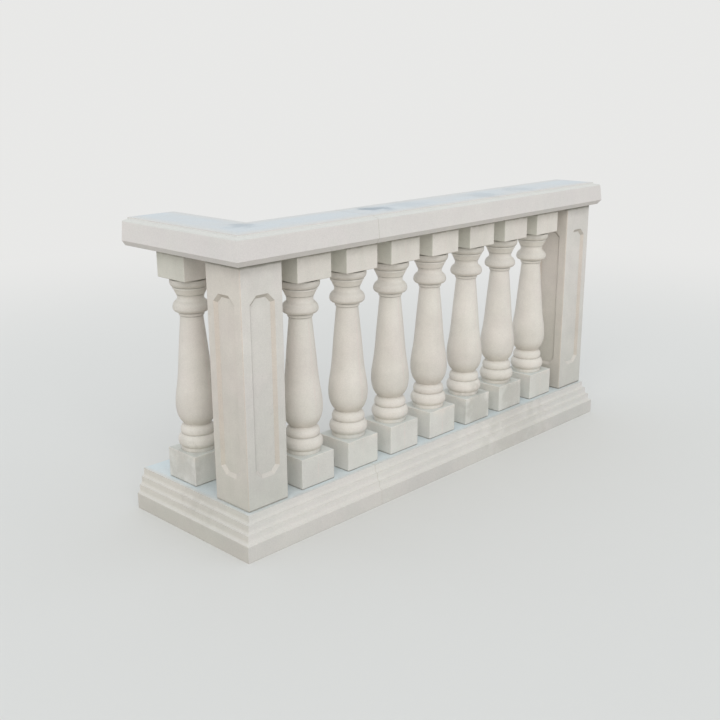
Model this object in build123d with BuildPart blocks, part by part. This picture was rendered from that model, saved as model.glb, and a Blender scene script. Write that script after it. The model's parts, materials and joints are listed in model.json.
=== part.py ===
from build123d import *
import os

os.makedirs("parts", exist_ok=True)

# A cast stone balustrade on an L-shaped plan: a corner pier, a long side of
# balusters that ends in a second pier, and a short return with one baluster,
# cut plain where the next bay would follow.
# Millimetres, +Z up. The origin is on the ground, on the corner pier's axis.
# The long side runs along +X and the return along +Y.

# Plan
run_balusters = 7  # balusters on the long side
baluster_pitch = 200.0  # centre to centre
pier_to_baluster = 210.0  # the corner pier's axis to the first baluster on the long side
baluster_to_end_pier = 198.0  # the last baluster to the end pier's axis
return_to_baluster = 258.0  # the corner pier's axis to the baluster on the return
corner_leg = 441.0  # the corner pier's axis to both ends of the corner units
end_overhang = 107.0  # the end pier's axis to the end of the base and the rail
unit_joint = 2.0  # mortar between the corner units and the long units
joint_recess = 0.4  # how far that mortar lies behind the stone's face

# Base: a plain fascia, then coved steps up to a flat top
fascia_height = 53.0
step_count = 3
step_out = 10.0  # radius of a step's cove, which is also how far the step stands out
step_face = 16.0  # upright face above each cove
base_top_width = 180.0  # the flat top
nosing_round = 2.5

# Mortar beds under and over each pier and baluster
bed_thickness = 1.5
bed_recess = 2.0  # how far a bed lies behind the faces of the stone it carries

# Balusters: a square block, a turned body and a square block, cast in one
block_width = 136.0
base_block_height = 95.5
top_block_height = 84.5
block_round = 2.5

# Turned body, from the foot up: heights and radii of its mouldings
foot_ring_height = 12.0
foot_ring_radius = 53.5
lower_torus_height = 40.0
lower_torus_foot_radius = 54.5
lower_torus_top_radius = 51.0
lower_torus_radius = 62.0
groove_height = 2.0
groove_radius = 49.5
upper_torus_height = 29.0
upper_torus_foot_radius = 50.5
upper_torus_radius = 53.0
upper_torus_widest = 7.5  # its widest point above its foot
neck_height = 2.0
neck_radius = 41.5
vase_shoulder_radius = 55.3
vase_shoulder_height = 19.0  # the neck to the point where the foot turns upwards
vase_radius = 63.5
vase_foot_height = 53.0  # the neck to the vase's widest point
taper_low_radius = 56.0
taper_low_height = 75.0  # the widest point to the lower of two points on the taper
taper_high_radius = 46.0
taper_high_height = 174.0  # the widest point to the upper one
vase_top_radius = 35.0
vase_taper_height = 289.5  # the widest point to the top of the vase
quirk_height = 2.0  # the narrow grooves under and over the ring
quirk_radius = 33.0
ring_height = 9.0
ring_edge_radius = 38.0
ring_radius = 39.2
bulb_foot_radius = 41.0
bulb_foot_height = 14.0  # the bulb's foot to its widest point
bulb_radius = 56.2
bulb_shoulder_height = 19.5
bulb_shoulder_radius = 46.5
throat_cove_height = 10.0  # the bulb's shoulder down into the throat
throat_radius = 40.5
throat_lip_height = 10.0  # the throat's narrowest point up to its lip
throat_lip_radius = 43.0
lip_groove_height = 1.5
lip_groove_radius = 41.0
flare_height = 17.5
flare_foot_radius = 44.0
flare_top_radius = 52.0
fillet_height = 5.0
fillet_radius = 53.5
cap_groove_height = 2.0
cap_groove_radius = 50.5
cap_torus_height = 22.0
cap_torus_foot_radius = 56.5
cap_torus_radius = 61.4
cap_torus_top_radius = 60.0
crease_height = 4.0
crease_radius = 49.0

# Piers: a square shaft with a sunk eight-sided panel in each face
pier_width = 153.0
pier_round = 4.0
panel_end_distance = 90.0  # from each end of the pier to the panel
panel_width = 92.0
panel_corner = 24.0  # size of the corner cuts
panel_depth = 8.5
panel_bevel = 10.5  # width of the sloping border, seen from the front

# Rail: chamfer, leaning face, rounded ledge, coved step and flat top
rail_underside_width = 198.0
rail_width = 220.0  # at its widest
rail_chamfer_rise = 16.0
rail_shoulder_width = 208.0
rail_shoulder_height = 76.0
rail_shoulder_round = 6.0
rail_ledge_width = 180.0  # between the inner edges of the two ledges
rail_ledge_height = 78.0
rail_top_width = 169.0
rail_height = 84.0
rail_top_round = 1.5

# Sizes that follow
step_rise = step_out + step_face
base_half = base_top_width / 2 + step_count * step_out
rail_half = rail_width / 2
base_height = fascia_height + step_count * step_rise
support_foot = base_height + bed_thickness
lower_torus_foot = base_block_height + foot_ring_height
lower_torus_top = lower_torus_foot + lower_torus_height
upper_torus_foot = lower_torus_top + groove_height
upper_torus_top = upper_torus_foot + upper_torus_height
vase_foot = upper_torus_top + neck_height
vase_widest = vase_foot + vase_foot_height
vase_top = vase_widest + vase_taper_height
ring_foot = vase_top + quirk_height
ring_top = ring_foot + ring_height
bulb_foot = ring_top + quirk_height
bulb_widest = bulb_foot + bulb_foot_height
bulb_shoulder = bulb_widest + bulb_shoulder_height
throat = bulb_shoulder + throat_cove_height
throat_lip = throat + throat_lip_height
flare_foot = throat_lip + lip_groove_height
flare_top = flare_foot + flare_height
fillet_top = flare_top + fillet_height
cap_torus_foot = fillet_top + cap_groove_height
cap_torus_top = cap_torus_foot + cap_torus_height
top_block_foot = cap_torus_top + crease_height
support_height = top_block_foot + top_block_height
rail_foot = support_foot + support_height + bed_thickness
last_baluster_x = pier_to_baluster + (run_balusters - 1) * baluster_pitch
end_pier_x = last_baluster_x + baluster_to_end_pier
run_start_x = corner_leg + unit_joint
run_end_x = end_pier_x + end_overhang


# Outlines
def base_outline():
    """Section of the base, on its centre line, standing on zero."""
    with BuildSketch() as section:
        with BuildLine():
            Polyline((0, base_height), (0, 0), (base_half, 0), (base_half, fascia_height))
            for step in range(step_count):
                outer = base_half - step * step_out
                inner = outer - step_out
                foot = fascia_height + step * step_rise
                RadiusArc((outer, foot), (inner, foot + step_out), step_out)
                Line((inner, foot + step_out), (inner, foot + step_rise))
            Line((base_top_width / 2, base_height), (0, base_height))
        make_face()
        mirror(about=Plane.YZ)
        nosings = section.vertices().group_by(Axis.Y)[1::2]
        for nosing in nosings:
            fillet(nosing, nosing_round)
    return section.sketch


def rail_outline():
    """Section of the rail, on its centre line, standing on zero."""
    ledge = (rail_ledge_width / 2, rail_ledge_height)
    top_edge = (rail_top_width / 2, rail_height)
    with BuildSketch() as section:
        with BuildLine():
            Polyline(
                (0, rail_height),
                (0, 0),
                (rail_underside_width / 2, 0),
                (rail_half, rail_chamfer_rise),
                (rail_shoulder_width / 2, rail_shoulder_height),
                ledge,
            )
            TangentArc(ledge, top_edge, tangent=(-1, 0))
            Line(top_edge, (0, rail_height))
        make_face()
        mirror(about=Plane.YZ)
        levels = section.vertices().group_by(Axis.Y)
        fillet(levels[2], rail_shoulder_round)
        fillet(levels[-1].sort_by(Axis.X)[::len(levels[-1]) - 1], rail_top_round)
    return section.sketch


def turned_outline():
    """Half section of a baluster's turned body, between its two blocks."""
    up = (0, 1)
    down = (0, -1)
    lower_torus_middle = lower_torus_foot + lower_torus_height / 2
    ring_middle = ring_foot + ring_height / 2
    cap_torus_middle = cap_torus_foot + cap_torus_height / 2
    with BuildSketch(Plane.XZ) as section:
        with BuildLine():
            Polyline(
                (0, top_block_foot),
                (0, base_block_height),
                (foot_ring_radius, base_block_height),
                (foot_ring_radius, lower_torus_foot),
                (lower_torus_foot_radius, lower_torus_foot),
            )
            ThreePointArc(
                (lower_torus_foot_radius, lower_torus_foot),
                (lower_torus_radius, lower_torus_middle),
                (lower_torus_top_radius, lower_torus_top),
            )
            Polyline(
                (lower_torus_top_radius, lower_torus_top),
                (groove_radius, lower_torus_top),
                (groove_radius, upper_torus_foot),
                (upper_torus_foot_radius, upper_torus_foot),
            )
            ThreePointArc(
                (upper_torus_foot_radius, upper_torus_foot),
                (upper_torus_radius, upper_torus_foot + upper_torus_widest),
                (neck_radius, upper_torus_top),
            )
            Line((neck_radius, upper_torus_top), (neck_radius, vase_foot))
            Spline(
                (neck_radius, vase_foot),
                (vase_shoulder_radius, vase_foot + vase_shoulder_height),
                (vase_radius, vase_widest),
                (taper_low_radius, vase_widest + taper_low_height),
                (taper_high_radius, vase_widest + taper_high_height),
                (vase_top_radius, vase_top),
            )
            Polyline(
                (vase_top_radius, vase_top),
                (quirk_radius, vase_top),
                (quirk_radius, ring_foot),
                (ring_edge_radius, ring_foot),
            )
            ThreePointArc(
                (ring_edge_radius, ring_foot),
                (ring_radius, ring_middle),
                (ring_edge_radius, ring_top),
            )
            Polyline(
                (ring_edge_radius, ring_top),
                (quirk_radius, ring_top),
                (quirk_radius, bulb_foot),
                (bulb_foot_radius, bulb_foot),
            )
            TangentArc((bulb_radius, bulb_widest), (bulb_foot_radius, bulb_foot), tangent=down)
            TangentArc(
                (bulb_radius, bulb_widest), (bulb_shoulder_radius, bulb_shoulder), tangent=up
            )
            TangentArc(
                (throat_radius, throat), (bulb_shoulder_radius, bulb_shoulder), tangent=down
            )
            TangentArc((throat_radius, throat), (throat_lip_radius, throat_lip), tangent=up)
            Polyline(
                (throat_lip_radius, throat_lip),
                (lip_groove_radius, throat_lip),
                (lip_groove_radius, flare_foot),
                (flare_foot_radius, flare_foot),
                (flare_top_radius, flare_top),
                (fillet_radius, flare_top),
                (fillet_radius, fillet_top),
                (cap_groove_radius, fillet_top),
                (cap_groove_radius, cap_torus_foot),
                (cap_torus_foot_radius, cap_torus_foot),
            )
            ThreePointArc(
                (cap_torus_foot_radius, cap_torus_foot),
                (cap_torus_radius, cap_torus_middle),
                (cap_torus_top_radius, cap_torus_top),
            )
            Polyline(
                (cap_torus_top_radius, cap_torus_top),
                (crease_radius, cap_torus_top),
                (crease_radius, top_block_foot),
                (0, top_block_foot),
            )
        make_face()
    return section.sketch


# Base and rail: corner unit, mortar joint and long unit of each
courses = (
    ("base", base_outline(), 0.0, base_half, base_height),
    ("rail", rail_outline(), rail_foot, rail_half, rail_height),
)
for course, outline, foot, half, height in courses:
    with BuildPart() as corner_unit:
        with BuildLine():
            Polyline((0, corner_leg, foot), (0, 0, foot), (corner_leg, 0, foot))
        with BuildSketch(Plane(origin=(0, corner_leg, foot), x_dir=(1, 0, 0), z_dir=(0, -1, 0))):
            add(outline)
        sweep(transition=Transition.RIGHT)
    corner_unit.part.label = f"{course}_corner"
    export_step(corner_unit.part, f"parts/{course}_corner.step")

    section_plane = Plane(origin=(corner_leg, 0, foot), x_dir=(0, 1, 0), z_dir=(1, 0, 0))
    with BuildPart() as joint:
        with BuildSketch(section_plane):
            add(outline)
            offset(amount=-joint_recess, kind=Kind.INTERSECTION)
        extrude(amount=unit_joint)
    joint.part.label = f"{course}_joint"
    export_step(joint.part, f"parts/{course}_joint.step")

    plain_length = run_end_x - half - run_start_x
    with BuildPart() as long_unit:
        with BuildSketch(section_plane.offset(unit_joint)):
            add(outline)
        extrude(amount=run_end_x - run_start_x)
        # The moulding returns around the far end, on a mitre
        with BuildSketch(Plane(origin=(run_end_x - half, 0, foot), x_dir=(1, 0, 0), z_dir=(0, -1, 0))):
            add(outline)
            Rectangle(plain_length, height, align=(Align.MAX, Align.MIN))
        extrude(amount=half, both=True, mode=Mode.INTERSECT)
    long_unit.part.label = f"{course}_run"
    export_step(long_unit.part, f"parts/{course}_run.step")

# One pier, on the origin
with BuildPart() as pier_form:
    with BuildSketch():
        Rectangle(pier_width, pier_width)
    extrude(amount=support_height)
    fillet(pier_form.edges(), pier_round)
    for turn in range(4):
        outward = Vector(1, 0, 0).rotate(Axis.Z, 90 * turn)
        panel_plane = Plane(
            origin=outward * pier_width / 2 + Vector(0, 0, support_height / 2),
            x_dir=outward.rotate(Axis.Z, 90),
            z_dir=outward,
        )
        with BuildSketch(panel_plane) as panel:
            Rectangle(panel_width, support_height - 2 * panel_end_distance)
            chamfer(panel.vertices(), panel_corner)
        with BuildSketch(panel_plane.offset(-panel_depth)):
            add(panel.sketch_local)
            offset(amount=-panel_bevel, kind=Kind.INTERSECTION)
        loft(ruled=True, mode=Mode.SUBTRACT)

# One baluster, on the origin
with BuildPart() as baluster_form:
    with BuildSketch():
        Rectangle(block_width, block_width)
    extrude(amount=base_block_height)
    with BuildSketch(Plane.XY.offset(top_block_foot)):
        Rectangle(block_width, block_width)
    extrude(amount=top_block_height)
    fillet(baluster_form.edges(), block_round)
    with BuildSketch(Plane.XZ):
        add(turned_outline())
    revolve(axis=Axis.Z)

# Piers and balusters in their places, each between two mortar beds
supports = [
    ("corner_pier", pier_form.part, pier_width, 0, 0),
    ("end_pier", pier_form.part, pier_width, end_pier_x, 0),
    ("return_baluster", baluster_form.part, block_width, 0, return_to_baluster),
]
for number in range(run_balusters):
    axis_x = pier_to_baluster + number * baluster_pitch
    supports.append((f"baluster_{number + 1}", baluster_form.part, block_width, axis_x, 0))

for name, form, width, axis_x, axis_y in supports:
    with BuildPart() as support:
        with Locations((axis_x, axis_y, support_foot)):
            add(form)
    support.part.label = name
    export_step(support.part, f"parts/{name}.step")

    beds = ((f"bed_under_{name}", base_height), (f"bed_over_{name}", rail_foot - bed_thickness))
    for bed_name, bed_foot in beds:
        with BuildPart() as bed:
            with BuildSketch(Plane(origin=(axis_x, axis_y, bed_foot))):
                Rectangle(width - 2 * bed_recess, width - 2 * bed_recess)
            extrude(amount=bed_thickness)
        bed.part.label = bed_name
        export_step(bed.part, f"parts/{bed_name}.step")
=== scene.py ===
"""The stone balustrade's looks: stone and mortar on the CAD nodes, a camera, a plain floor and soft light."""
import json
import math

import bpy
from mathutils import Matrix, Vector


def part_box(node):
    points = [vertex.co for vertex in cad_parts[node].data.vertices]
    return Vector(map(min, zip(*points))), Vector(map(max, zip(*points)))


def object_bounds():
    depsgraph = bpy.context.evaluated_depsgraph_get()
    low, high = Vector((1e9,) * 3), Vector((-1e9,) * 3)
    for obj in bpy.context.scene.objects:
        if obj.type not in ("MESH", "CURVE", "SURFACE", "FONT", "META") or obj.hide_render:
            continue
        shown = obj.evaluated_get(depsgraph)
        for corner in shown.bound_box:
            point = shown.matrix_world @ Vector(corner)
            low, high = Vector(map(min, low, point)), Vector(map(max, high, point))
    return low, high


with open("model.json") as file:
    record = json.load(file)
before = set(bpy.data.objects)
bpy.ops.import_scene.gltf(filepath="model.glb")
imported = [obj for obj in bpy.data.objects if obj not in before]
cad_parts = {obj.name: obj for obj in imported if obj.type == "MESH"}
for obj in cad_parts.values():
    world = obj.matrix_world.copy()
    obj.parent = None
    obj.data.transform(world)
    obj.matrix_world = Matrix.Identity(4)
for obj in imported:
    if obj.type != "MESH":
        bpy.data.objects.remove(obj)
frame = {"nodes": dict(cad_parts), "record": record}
cad_box = [list(corner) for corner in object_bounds()]

# Camera: in front of the corner and to its left, above the rail. Metres and degrees.
CAMERA_PLACE = (-1.7186, -2.1335, 1.3534)
CAMERA_YAW = 44.318
CAMERA_PITCH = 16.231
CAMERA_ROLL = -0.346
CAMERA_LENS = 49.050
CAMERA_SENSOR = 36

# Light and surroundings
BACKGROUND = (0.81, 0.81, 0.80)
FLOOR_COLOUR = (0.72, 0.72, 0.70)
FLOOR_SIZE = 30.0
FLOOR_FADE = (1.6, 5.0)  # distances over which the floor turns into the plain background
SKY_HIGH = (0.93, 0.965, 1.0)
SKY_LOW = (0.985, 0.99, 0.995)
SKY_STRENGTH = 0.86
SKY_FADE = (0.0, 0.7)  # heights in the sky over which its low colour turns into its high one
KEY_COLOUR = (1.0, 0.97, 0.93)
KEY_STRENGTH = 1.05
KEY_SPREAD = 60.0
KEY_ELEVATION = 32.0
KEY_AZIMUTH = -133.0


def middle(node):
    """The middle of a CAD node's box."""
    low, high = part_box(node)
    return (low + high) / 2


# Places on the part, in metres
RAIL_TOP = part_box("rail_run")[1].z
BASE_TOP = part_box("base_run")[1].z
UNIT_JOINT = middle("rail_joint").x  # between the corner units and the long ones
BALUSTER_PITCH = middle("baluster_2").x - middle("baluster_1").x
FIRST_GAP = middle("baluster_1").x - BALUSTER_PITCH / 2  # half a pitch before the first baluster
UNDER_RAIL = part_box("baluster_1")[1].z - 0.005
HEAD_BLOCK = 0.775  # just above the foot of a baluster's head block
CREASE = 0.772  # between the head block and the torus below it
CAP_TORUS = 0.757
BULB = 0.684
VASE = 0.366  # its widest point
TOP_MARGIN = 0.0005  # a level top takes its painted sky light from this far below it
WASH_EDGE = 0.001  # height over which the painted sky light starts

# Noise: cells a metre, levels of detail, roughness, and the values at which its effect starts and is full
BROAD_BLOTCHES = (3.1, 4, 0.55, 0.32, 0.68)
MIDDLING_BLOTCHES = (15, 5, 0.6, 0.25, 0.75)
WARM_PATCHES = (8, 3, 0.55, 0.35, 0.65)
DAMP_EDGE = (12, 4, 0.55, 0.2, 0.8)
WASH_PATCHES = (9, 4, 0.55, 0.3, 0.62)
DARK_RUNS = (1.0, 4, 0.6, 0.52, 0.74)
PALE_RUNS = (1.0, 4, 0.6, 0.46, 0.3)
SEAM_EDGE = (30, 2, 0.55, 0.3, 0.7)
SEAM_BREAKS = (19, 3, 0.55, 0.35, 0.6)
BAND_EDGE = (35, 3, 0.55, 0.3, 0.7)
SMUDGE_EDGE = (22, 5, 0.6, 0.2, 0.8)
CREVICE_PATCHES = (50, 3, 0.55, 0.3, 0.7)
WEAR_PATCHES = (45, 3, 0.55, 0.4, 0.65)
SHEEN_PATCHES = (40, 4, 0.55, 0.3, 0.7)

# Noise that is taken whole
GRAIN = (900, 2, 0.55)
MOULD_WAVES = (26, 3, 0.55)

# Shift and stretch of the place that noise is read at, and cells a metre of the sand and pinholes
WARM_SHIFT = (7.3, 7.3, 7.3)  # keeps the warm patches apart from the blotches
RUN_STRETCH = (34, 34, 1.3)  # runs are narrow and tall
SAND_CELLS = 430.0
PINHOLE_CELLS = 75.0

# How far upright or level a face is, by the height of its normal
UPRIGHT = (0.15, 0.45)
RISING = (0.15, 0.5)
LEVEL = (0.9, 0.99)
DOWNWARD = (-0.6, -0.1)
TOWARDS_LEFT = (-0.9, -0.3)  # by its normal along X
BEVELLED = (0.3, 0.45)  # by the product of its normal along X and along Y

# Shades, shares and reaches that every stone has
COOL_TINT = (0.985, 1.0, 0.985)
WARM_TINT = (1.012, 0.995, 1.0)
WARM_SHARE = 0.5
WASH_THINNEST = 0.7
WASH_OUTSIDE = 0.3  # share of the painted sky light left beyond its reach
PINK_RUN = (0.78, 0.7, 0.66)
PINK_RUN_SHARE = 0.6
SEAM_COLOUR = (0.72, 0.6, 0.56)
SEAM_WIDTH = (0.001, 0.0045)  # half widths, where it starts to fade and where it is gone
SEAM_STRAY = 0.0012
SEAM_FAINTEST = 0.2
BAND_STRAY = 0.12  # of its reach
BAND_CORE = 0.1  # share of its reach over which a band is full
SMUDGE_STRAY = 0.45
SMUDGE_CORE = 0.2
CREVICE_REACH = 0.006
CREVICE_SAMPLES = 6
CREVICE_CLEANEST = 0.5
CREVICE_DEPTH = (0.4, 0.9)  # openness at which the painted shade is full and at which it is gone
EDGE_RADIUS = 0.003
EDGE_SAMPLES = 4
EDGE_TURN = (0.8, 0.97)  # rounded normal against true one, where the pale edge is full and where it is gone
GRAIN_SPREAD = (0.3, 0.7)
GRAIN_SHADE = 0.02
SAND_SHADE = 0.03
PINHOLE_RADIUS = (0.05, 0.1)
PINHOLE_CHOICE = (0.86, 0.88)  # only cells whose random value is higher have a pinhole
PINHOLE_SHADE = 0.35
ROUGHNESS = (0.82, 0.97)
SPECULAR = 0.3
WAVE_RELIEF = (0.25, 0.002)  # strength, and height in metres
SAND_RELIEF = (0.35, 0.0004)
PINHOLE_RELIEF = (0.6, 0.001)


class Graph:
    """A material's nodes. A socket given as a value is linked, and anything else is set."""

    def __init__(self, tree):
        self.tree = tree
        self.tree.nodes.clear()

    def node(self, kind, inputs, **settings):
        made = self.tree.nodes.new("ShaderNode" + kind)
        for key, value in settings.items():
            setattr(made, key, value)
        for key, value in inputs.items():
            if isinstance(value, bpy.types.NodeSocket):
                self.tree.links.new(value, made.inputs[key])
            elif isinstance(made.inputs[key].default_value, (float, int)):
                made.inputs[key].default_value = value
            elif len(made.inputs[key].default_value) == 4:
                made.inputs[key].default_value = (*value, 1.0)
            else:
                made.inputs[key].default_value = value
        return made

    def math(self, operation, a, b=0.0):
        return self.node("Math", {0: a, 1: b}, operation=operation).outputs[0]

    def add(self, a, b):
        return self.math("ADD", a, b)

    def subtract(self, a, b):
        return self.math("SUBTRACT", a, b)

    def times(self, a, b):
        return self.math("MULTIPLY", a, b)

    def vector(self, operation, a, b):
        return self.node("VectorMath", {0: a, 1: b}, operation=operation).outputs

    def split(self, vector):
        return self.node("SeparateXYZ", {0: vector}).outputs

    def fade(self, value, low, high, to_low=0.0, to_high=1.0):
        """From one value to another, smoothly, as a third goes from low to high."""
        inputs = {0: value, 1: low, 2: high, 3: to_low, 4: to_high}
        return self.node("MapRange", inputs, interpolation_type="SMOOTHSTEP").outputs[0]

    def fade_out(self, value, low, high, most=1.0):
        return self.fade(value, low, high, most, 0.0)

    def mix(self, share, a, b, blend="MIX"):
        made = self.node("Mix", {0: share, 6: a, 7: b}, data_type="RGBA", blend_type=blend)
        return made.outputs[2]

    def noise(self, place, scale, detail, roughness):
        inputs = {"Vector": place, "Scale": scale, "Detail": detail, "Roughness": roughness}
        return self.node("TexNoise", inputs).outputs["Fac"]

    def cells(self, place, scale):
        return self.node("TexVoronoi", {"Vector": place, "Scale": scale}).outputs

    def bump(self, relief, height, below=None, invert=False):
        """The normal after a height is added, over the bump below it if there is one."""
        strength, distance = relief
        inputs = {"Strength": strength, "Distance": distance, "Height": height}
        if below is not None:
            inputs["Normal"] = below
        return self.node("Bump", inputs, invert=invert).outputs[0]


def linear(red, green, blue):
    """A colour from its 0 to 255 display values."""
    shares = [value / 255 for value in (red, green, blue)]
    return tuple(s / 12.92 if s <= 0.04045 else ((s + 0.055) / 1.055) ** 2.4 for s in shares)


NO_TINT = (1.0, 1.0, 1.0)
NOWHERE = 9.0  # a height or a distance that the part doesn't reach
PLAIN = {
    "blotches": (0.965, 1.03),  # darkest and lightest of the middling blotches
    "castings": (FIRST_GAP, BALUSTER_PITCH, 0.0),  # the first casting's end, their spacing along X, a seed
    "tones": (0.96, 1.02),  # darkest and lightest casting
    "foot_tint": NO_TINT,  # tint of the lowest part, partly dirt and partly painted shade and cool bounce light, gone at the second height
    "foot_heights": (0.13, 0.6),
    "foot_ragged": 0.04,  # how far its edge strays from those heights
    "side_tint": NO_TINT,  # painted shade on the faces that look along -X; a tint above 1 paints them lighter
    "side_from": 0.0,  # height from which they have it
    "under_tint": (0.9, 0.88, 0.85),  # painted shade on the faces that look down
    "bevel_tint": NO_TINT,  # painted shade on the upright bevels that look along -X and -Y, or along +X and +Y
    "washed_above": NOWHERE,  # level faces above this height take the painted sky light
    "wash_reach": (NOWHERE, NOWHERE + 1),  # distances from either arm's middle over which the painted sky light fades
    # colour of the painted sky light on level tops, paler and bluer
    "wash": NO_TINT,
    "bloom": (0.8, 0.8, 0.8),  # painted highlight on slopes that look up; also the colour of the pale edges
    "bloom_share": 0.4,
    "slope_tint": NO_TINT,  # painted shade on the slopes that aren't level
    "streaks": 0.08,
    "seam": 0.0,
    "bands": (),  # height, reach and share of each level line of painted shade
    "smudges": (),  # place, reach and share
    "smudge_colour": linear(138, 134, 122),
    # share of the painted shade where surfaces meet
    "crevices": 0.6,
    # share of the pale edges, partly wear and partly painted highlight
    "wear": 0.3,
}


class Stone(Graph):
    """Cast stone's nodes. Each step changes the colour, in the order in which dress() calls them."""

    def __init__(self, tree, light, dark, grime, look):
        super().__init__(tree)
        # colour of dirt, also used for the painted shade in bands and crevices
        self.grime = grime
        self.look = look
        self.place = self.node("TexCoord", {}).outputs["Object"]
        self.normal = self.node("NewGeometry", {}).outputs["Normal"]
        self.parts = self.split(self.place)
        self.facing = self.split(self.normal)
        self.upright = self.fade_out(self.math("ABSOLUTE", self.facing[2]), *UPRIGHT)
        self.first, self.spacing, self.seed = look["castings"]
        along = self.subtract(self.parts[0], self.first)
        self.cell = self.math("FLOOR", self.math("DIVIDE", along, self.spacing))
        self.colour = self.mix(self.patches(BROAD_BLOTCHES), dark, light)

    def patches(self, field, to_low=0.0, to_high=1.0, place=None):
        """A noise field, as a fade from where its effect starts to where it is full."""
        scale, detail, roughness, start, full = field
        noise = self.noise(self.place if place is None else place, scale, detail, roughness)
        return self.fade(noise, start, full, to_low, to_high)

    def cover(self, share, colour):
        self.colour = self.mix(share, self.colour, colour)

    def tint(self, share, colour):
        self.colour = self.mix(share, self.colour, colour, "MULTIPLY")

    def shade(self, factor):
        inputs = {0: self.colour, 3: factor}
        self.colour = self.node("VectorMath", inputs, operation="SCALE").outputs[0]

    def blotches(self):
        """A tone for each casting, middling blotches, and cooler and warmer patches."""
        casting = self.node("TexWhiteNoise", {"W": self.add(self.cell, self.seed)}, noise_dimensions="1D")
        darkest, lightest = self.look["tones"]
        tone = self.node("MapRange", {0: casting.outputs["Value"], 3: darkest, 4: lightest}).outputs[0]
        self.shade(self.times(tone, self.patches(MIDDLING_BLOTCHES, *self.look["blotches"])))
        warmth = self.patches(WARM_PATCHES, place=self.vector("ADD", self.place, WARM_SHIFT)[0])
        self.tint(WARM_SHARE, self.mix(warmth, COOL_TINT, WARM_TINT))

    def exposure(self):
        """A darker foot, partly dirt and partly painted shade and cool light; painted shade on the faces that
        look along -X, on those that look down and on upright bevels.
        """
        stray = self.look["foot_ragged"]
        rising = self.add(self.parts[2], self.patches(DAMP_EDGE, -stray, stray))
        self.tint(self.fade_out(rising, *self.look["foot_heights"]), self.look["foot_tint"])
        high = self.math("GREATER_THAN", self.parts[2], self.look["side_from"])
        self.tint(self.times(self.fade_out(self.facing[0], *TOWARDS_LEFT), high), self.look["side_tint"])
        self.tint(self.fade_out(self.facing[2], *DOWNWARD), self.look["under_tint"])
        oblique = self.times(self.times(self.facing[0], self.facing[1]), self.upright)
        self.tint(self.fade(oblique, *BEVELLED), self.look["bevel_tint"])

    def wash(self):
        """Painted sky light: level tops paler and bluer near either arm's middle; slopes that look up get a
        painted highlight and painted shade.
        """
        level = self.times(self.fade(self.facing[2], *LEVEL), self.patches(WASH_PATCHES, WASH_THINNEST))
        start = self.look["washed_above"]
        high = self.fade(self.parts[2], start - WASH_EDGE, start)
        off = self.math("ABSOLUTE", self.math("MINIMUM", self.parts[0], self.parts[1]))
        inner = self.fade(off, *self.look["wash_reach"], 1.0, WASH_OUTSIDE)
        washed = self.times(self.times(level, high), inner)
        slope = self.times(self.fade(self.facing[2], *RISING), self.subtract(1.0, washed))
        self.cover(self.times(slope, self.look["bloom_share"]), self.look["bloom"])
        self.tint(self.times(slope, self.fade_out(self.facing[2], *LEVEL)), self.look["slope_tint"])
        self.cover(washed, self.look["wash"])

    def runs(self):
        """Faint runs down the upright faces, greenish and pinkish."""
        stretched = self.vector("MULTIPLY", self.place, RUN_STRETCH)[0]
        dark_run = self.times(self.patches(DARK_RUNS, place=stretched), self.upright)
        pale_run = self.times(self.patches(PALE_RUNS, place=stretched), self.upright)
        self.cover(self.times(dark_run, self.look["streaks"]), self.grime)
        self.cover(self.times(pale_run, self.look["streaks"] * PINK_RUN_SHARE), PINK_RUN)

    def mould_seam(self):
        """The mould's seam, down the front and back of each casting."""
        along = self.subtract(self.subtract(self.parts[0], self.first), self.times(self.cell, self.spacing))
        off = self.math("ABSOLUTE", self.subtract(along, self.spacing / 2))
        shaky = self.add(off, self.patches(SEAM_EDGE, -SEAM_STRAY, SEAM_STRAY))
        line = self.times(self.fade_out(shaky, *SEAM_WIDTH), self.upright)
        line = self.times(line, self.patches(SEAM_BREAKS, SEAM_FAINTEST))
        self.cover(self.times(line, self.look["seam"]), SEAM_COLOUR)

    def bands(self):
        """Level lines of painted shade, under ledges and on the turned parts."""
        for height, reach, share in self.look["bands"]:
            off = self.math("ABSOLUTE", self.subtract(self.parts[2], height))
            stray = BAND_STRAY * reach
            ragged = self.add(off, self.patches(BAND_EDGE, -stray, stray))
            self.cover(self.times(self.fade_out(ragged, BAND_CORE * reach, reach), share), self.grime)

    def smudges(self):
        """Darker smudges at the given places."""
        for spot, reach, share in self.look["smudges"]:
            away = self.vector("DISTANCE", self.place, spot)["Value"]
            stray = SMUDGE_STRAY * reach
            ragged = self.add(away, self.patches(SMUDGE_EDGE, -stray, stray))
            smudge = self.times(self.fade_out(ragged, SMUDGE_CORE * reach, reach), share)
            self.cover(smudge, self.look["smudge_colour"])

    def crevices(self):
        """Painted shade where surfaces meet, from how closed in each point is."""
        inputs = {"Distance": CREVICE_REACH}
        openness = self.node("AmbientOcclusion", inputs, samples=CREVICE_SAMPLES).outputs["AO"]
        dirt = self.fade_out(openness, *CREVICE_DEPTH, self.look["crevices"])
        self.cover(self.times(dirt, self.patches(CREVICE_PATCHES, CREVICE_CLEANEST)), self.grime)

    def worn_edges(self):
        """Paler edges, partly wear and partly painted highlight, where the rounded normal leaves the true
        one.
        """
        rounded = self.node("Bevel", {"Radius": EDGE_RADIUS}, samples=EDGE_SAMPLES).outputs[0]
        turn = self.vector("DOT_PRODUCT", rounded, self.normal)["Value"]
        edge = self.fade_out(turn, *EDGE_TURN, self.look["wear"])
        self.cover(self.times(edge, self.patches(WEAR_PATCHES)), self.look["bloom"])

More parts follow.
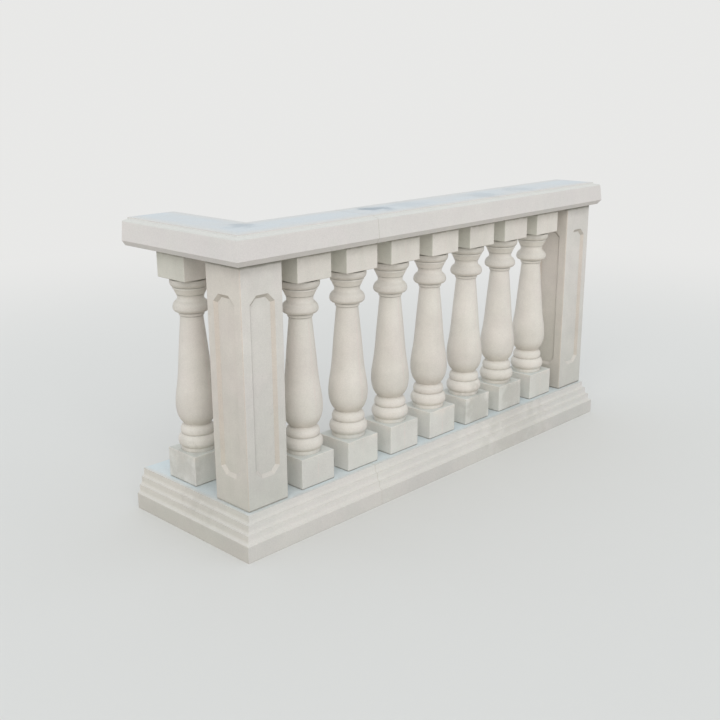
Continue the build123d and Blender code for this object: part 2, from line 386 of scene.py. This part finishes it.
    def surface(self):
        """Sand grain and pinholes, in colour and in relief over the waves of the mould."""
        grain = self.noise(self.place, *GRAIN)
        speck = self.split(self.cells(self.place, SAND_CELLS)["Color"])[0]
        sand = self.fade(speck, 0.0, 1.0, -SAND_SHADE, SAND_SHADE)
        fleck = self.add(self.fade(grain, *GRAIN_SPREAD, -GRAIN_SHADE, GRAIN_SHADE), sand)
        holes = self.cells(self.place, PINHOLE_CELLS)
        chosen = self.fade(self.split(holes["Color"])[1], *PINHOLE_CHOICE)
        pit = self.times(self.fade_out(holes["Distance"], *PINHOLE_RADIUS), chosen)
        self.shade(self.add(fleck, 1.0))
        self.cover(self.times(pit, PINHOLE_SHADE), self.grime)

        waves = self.bump(WAVE_RELIEF, self.noise(self.place, *MOULD_WAVES))
        sandy = self.bump(SAND_RELIEF, self.add(grain, speck), below=waves)
        pitted = self.bump(PINHOLE_RELIEF, pit, below=sandy, invert=True)
        shader = self.node("BsdfPrincipled", {
            "Base Color": self.colour,
            "Roughness": self.patches(SHEEN_PATCHES, *ROUGHNESS),
            "Specular IOR Level": SPECULAR,
            "Normal": pitted,
        })
        self.node("OutputMaterial", {"Surface": shader.outputs[0]})

    def dress(self):
        self.blotches()
        self.exposure()
        self.wash()
        self.runs()
        if self.look["seam"]:
            self.mould_seam()
        self.bands()
        self.smudges()
        if self.look["crevices"]:
            self.crevices()
        if self.look["wear"]:
            self.worn_edges()
        self.surface()


def stone(name, light, dark, grime, **changes):
    """A cast stone from its display colours and what sets it apart from the plain one."""
    made = bpy.data.materials.new(name)
    made.use_nodes = True
    colours = (linear(*shade) for shade in (light, dark, grime))
    Stone(made.node_tree, *colours, {**PLAIN, **changes}).dress()
    return made


# Smudges on the tops of the rail and the base, and on the feet of three balusters: place, reach and share
rail_smudges = (
    ((0.028, 0.042, RAIL_TOP), 0.06, 0.3),
    ((0.515, 0.031, RAIL_TOP), 0.033, 0.48),
    ((0.545, 0.013, RAIL_TOP), 0.036, 0.52),
    ((0.580, -0.006, RAIL_TOP), 0.033, 0.36),
    ((0.555, 0.005, RAIL_TOP), 0.08, 0.16),
    ((0.710, 0.000, RAIL_TOP), 0.10, 0.13),
    ((1.070, -0.020, RAIL_TOP), 0.09, 0.18),
    ((1.300, 0.000, RAIL_TOP), 0.09, 0.14),
)
base_smudges = (
    ((1.200, -0.040, BASE_TOP), 0.30, 0.16),
    ((-0.030, 0.130, BASE_TOP), 0.14, 0.14),
)
baluster_smudges = (
    ((1.225, -0.075, 0.190), 0.10, 0.28),
    ((1.025, -0.075, 0.190), 0.11, 0.34),
    ((-0.100, 0.258, 0.190), 0.11, 0.28),
)
materials = {
    # The rail: painted shade on its undersides, slopes and crevices; painted sky light on its level top;
    # painted highlight on its slopes and partly on its edges.
    "rail_stone": stone(
        "rail_stone", (216, 212, 208), (212, 208, 205), (138, 146, 146),
        blotches=(0.985, 1.012), castings=(UNIT_JOINT, 1.4, 3.0), tones=(0.99, 1.0),
        under_tint=(0.88, 0.87, 0.85),
        washed_above=RAIL_TOP - TOP_MARGIN, wash_reach=(0.03, 0.085), wash=linear(210, 216, 219),
        bloom=linear(219, 219, 214), bloom_share=0.8, slope_tint=(0.94, 0.95, 0.95), streaks=0.01,
        smudges=rail_smudges, smudge_colour=linear(132, 146, 158), crevices=0.35, wear=0.03,
    ),
    # The base: a darker foot band, partly dirt and partly painted shade; painted shade on faces that look
    # along -X, on those that look down and in crevices; painted sky light on its level top; painted highlight
    # on its slopes and partly on its edges.
    "base_stone": stone(
        "base_stone", (217, 214, 209), (208, 206, 202), (134, 132, 118),
        blotches=(0.985, 1.012), castings=(UNIT_JOINT, 1.4, 1.0), tones=(0.985, 1.0),
        foot_tint=(0.89, 0.89, 0.89), foot_heights=(0.048, 0.054), foot_ragged=0.001,
        side_tint=(0.9, 0.89, 0.85),
        washed_above=BASE_TOP - TOP_MARGIN, wash_reach=(0.07, 0.09), wash=linear(212, 222, 225),
        bloom=linear(208, 206, 199), bloom_share=0.35, streaks=0.03,
        smudges=base_smudges, crevices=0.35, wear=0.08,
    ),
    # The piers: a darker, cooler lower part, partly dirt and partly painted shade; painted shade on faces
    # that look along -X, on those that look down, on the upright bevels, in a band under the rail and in
    # crevices; painted highlight on slopes and partly on edges.
    "pier_stone": stone(
        "pier_stone", (215, 211, 205), (208, 204, 199), (137, 135, 125),
        castings=(0.5, 1.0, 2.0), tones=(0.99, 1.0),
        foot_tint=(0.86, 0.885, 0.87), foot_heights=(0.15, 0.62),
        side_tint=(0.97, 0.94, 0.91), under_tint=(0.72, 0.69, 0.65), bevel_tint=(0.95, 0.91, 0.88),
        bloom=linear(214, 205, 198), bloom_share=0.3, streaks=0.035,
        bands=((UNDER_RAIL, 0.009, 0.95), (UNDER_RAIL, 0.04, 0.22)), crevices=0.4, wear=0.07,
    ),
    # The balusters: painted cool light on the feet; painted shade on the head blocks' faces that look along
    # -X, on faces that look down and in crevices; painted sky light on level faces from the foot blocks' tops
    # up; painted highlight on slopes and partly on edges.
    "baluster_stone": stone(
        "baluster_stone", (224, 219, 211), (215, 209, 201), (137, 133, 121),
        # The seed makes the return baluster and baluster 1, beside the corner pier, the darkest castings.
        castings=(FIRST_GAP, BALUSTER_PITCH, -241.0), tones=(0.93, 0.985),
        foot_tint=(0.92, 0.96, 0.98), foot_heights=(0.2, 0.26),
        side_tint=(0.88, 0.91, 0.88), side_from=HEAD_BLOCK,
        washed_above=0.2, wash=linear(211, 214, 210),
        bloom=linear(219, 216, 209), bloom_share=0.4, streaks=0.045, seam=0.25,
        # Painted shade under the rail, in the crease under each head block, on the cap torus, around the
        # vase's widest point and on the bulb.
        bands=(
            (UNDER_RAIL, 0.009, 0.95),
            (UNDER_RAIL, 0.035, 0.18),
            (CREASE, 0.005, 0.55),
            (CAP_TORUS, 0.022, 0.19),
            (VASE, 0.07, 0.09),
            (BULB, 0.025, 0.07),
        ),
        smudges=baluster_smudges, crevices=0.35, wear=0.08,
    ),
    # Mortar in the bed joints: its darker colour is partly the mortar's own and partly painted contact shadow
    # along each joint.
    "mortar": stone(
        "mortar", (168, 166, 160), (150, 148, 143), (110, 108, 100),
        tones=(0.95, 1.0), bloom=linear(195, 190, 178), streaks=0.05, crevices=0.3, wear=0.0,
    ),
}
joint_mortar = stone(
    "joint_mortar", (201, 197, 188), (191, 187, 178), (140, 136, 124),
    tones=(0.99, 1.0), bloom=linear(208, 206, 199), streaks=0.05, crevices=0.0, wear=0.0,
)
pier_mortar = stone(
    "pier_mortar", (186, 184, 178), (176, 174, 168), (120, 118, 110),
    # Its faces that look along -X are painted lighter, lifting the shade in the recess there.
    blotches=(0.75, 1.12), tones=(0.99, 1.0), side_tint=(1.3, 1.3, 1.28),
    bloom=linear(195, 190, 178), streaks=0.05, crevices=0.0, wear=0.0,
)
finishes = {"rail_joint": joint_mortar, "base_joint": joint_mortar, "bed_under_corner_pier": pier_mortar}
for subpart in frame["record"]["subparts"]:
    node = subpart["node"]
    for slot in frame["nodes"][node].material_slots:
        slot.material = finishes.get(node, materials[subpart["material_slot"]])

# Camera
yaw, pitch, roll = (math.radians(angle) for angle in (CAMERA_YAW, CAMERA_PITCH, CAMERA_ROLL))
forward = Vector((math.cos(pitch) * math.cos(yaw), math.cos(pitch) * math.sin(yaw), -math.sin(pitch)))
level_right = Vector((math.sin(yaw), -math.cos(yaw), 0))
level_up = level_right.cross(forward)
right = math.cos(roll) * level_right + math.sin(roll) * level_up
up = math.cos(roll) * level_up - math.sin(roll) * level_right
camera = bpy.data.objects.new("camera", bpy.data.cameras.new("camera"))
camera.data.sensor_width = CAMERA_SENSOR
camera.data.lens = CAMERA_LENS
camera.matrix_world = Matrix.Translation(CAMERA_PLACE) @ Matrix((right, up, -forward)).transposed().to_4x4()
bpy.context.scene.collection.objects.link(camera)
bpy.context.scene.camera = camera


def seen_directly(graph):
    """1 for rays from the camera, and for those by way of a reflection or glass."""
    path = graph.node("LightPath", {}).outputs
    either = graph.math("MAXIMUM", path["Is Camera Ray"], path["Is Glossy Ray"])
    return graph.math("MAXIMUM", either, path["Is Transmission Ray"])


# Floor: plain and pale, fading into the background
floor_mesh = bpy.data.meshes.new("floor")
corners = [(x * FLOOR_SIZE, y * FLOOR_SIZE, 0) for x, y in ((-1, -1), (1, -1), (1, 1), (-1, 1))]
floor_mesh.from_pydata(corners, [], [(0, 1, 2, 3)])
floor = bpy.data.objects.new("floor", floor_mesh)
bpy.context.scene.collection.objects.link(floor)
floor_material = bpy.data.materials.new("floor")
floor_material.use_nodes = True
graph = Graph(floor_material.node_tree)
centre = (Vector(cad_box[0]) + Vector(cad_box[1])) / 2
place = graph.node("TexCoord", {}).outputs["Object"]
away = graph.vector("DISTANCE", place, (centre.x, centre.y, 0))["Value"]
far = graph.times(graph.fade(away, *FLOOR_FADE), seen_directly(graph))
matt = graph.node("BsdfDiffuse", {"Color": FLOOR_COLOUR})
plain = graph.node("Emission", {"Color": BACKGROUND})
shown = graph.node("MixShader", {0: far, 1: matt.outputs[0], 2: plain.outputs[0]})
graph.node("OutputMaterial", {"Surface": shown.outputs[0]})
floor_mesh.materials.append(floor_material)

# World: an even soft light, a little bluer overhead
world = bpy.data.worlds.new("world")
bpy.context.scene.world = world
world.use_nodes = True
graph = Graph(world.node_tree)
height = graph.split(graph.node("TexCoord", {}).outputs["Generated"])[2]
sky = graph.mix(graph.fade(height, *SKY_FADE), SKY_LOW, SKY_HIGH)
light = graph.node("Background", {"Color": sky, "Strength": SKY_STRENGTH})
plain = graph.node("Background", {"Color": BACKGROUND})
shown = graph.node("MixShader", {0: seen_directly(graph), 1: light.outputs[0], 2: plain.outputs[0]})
graph.node("OutputWorld", {"Surface": shown.outputs[0]})

# Key: a broad soft lamp
key = bpy.data.objects.new("key", bpy.data.lights.new("key", "SUN"))
key.data.color = KEY_COLOUR
key.data.energy = KEY_STRENGTH
key.data.angle = math.radians(KEY_SPREAD)
elevation, azimuth = math.radians(KEY_ELEVATION), math.radians(KEY_AZIMUTH)
level_reach = math.cos(elevation)
towards = Vector((level_reach * math.cos(azimuth), level_reach * math.sin(azimuth), math.sin(elevation)))
key.rotation_mode = "QUATERNION"
key.rotation_quaternion = towards.to_track_quat("Z", "Y")
bpy.context.scene.collection.objects.link(key)

bpy.context.scene.view_settings.view_transform = "Standard"
